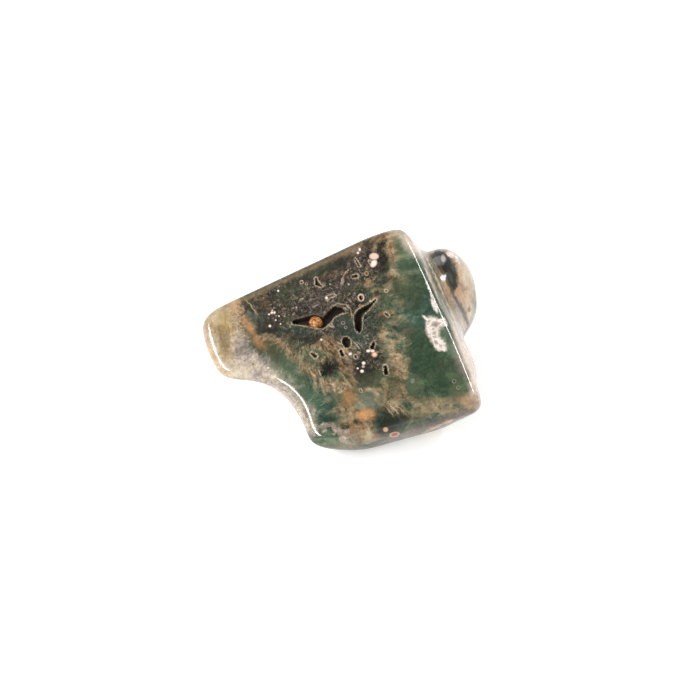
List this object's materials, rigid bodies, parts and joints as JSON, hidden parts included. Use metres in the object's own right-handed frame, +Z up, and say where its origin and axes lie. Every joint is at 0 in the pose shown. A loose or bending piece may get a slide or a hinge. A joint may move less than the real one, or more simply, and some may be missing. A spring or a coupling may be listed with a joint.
{
  "type": "tumbled ocean jasper stone",
  "caption": "Polished green and brown jasper pebble with a broad cut face, a scooped notch, a swelling at the back and open crystal-lined cavities; rests on a flat spot.",
  "frame": {"origin": "on the resting plane, under the middle of the stone's bounding box", "axes": "+X along the stone's length, from its thumb-like end to its squared end; +Y away from the side the picture was taken from; +Z up"},
  "size_m": [0.0356, 0.0296, 0.0179],
  "materials": {
    "jasper": "tumble-polished, glossy"
  },
  "bodies": {
    "root": {"jasper_stone": "jasper"}
  },
  "joints": []
}
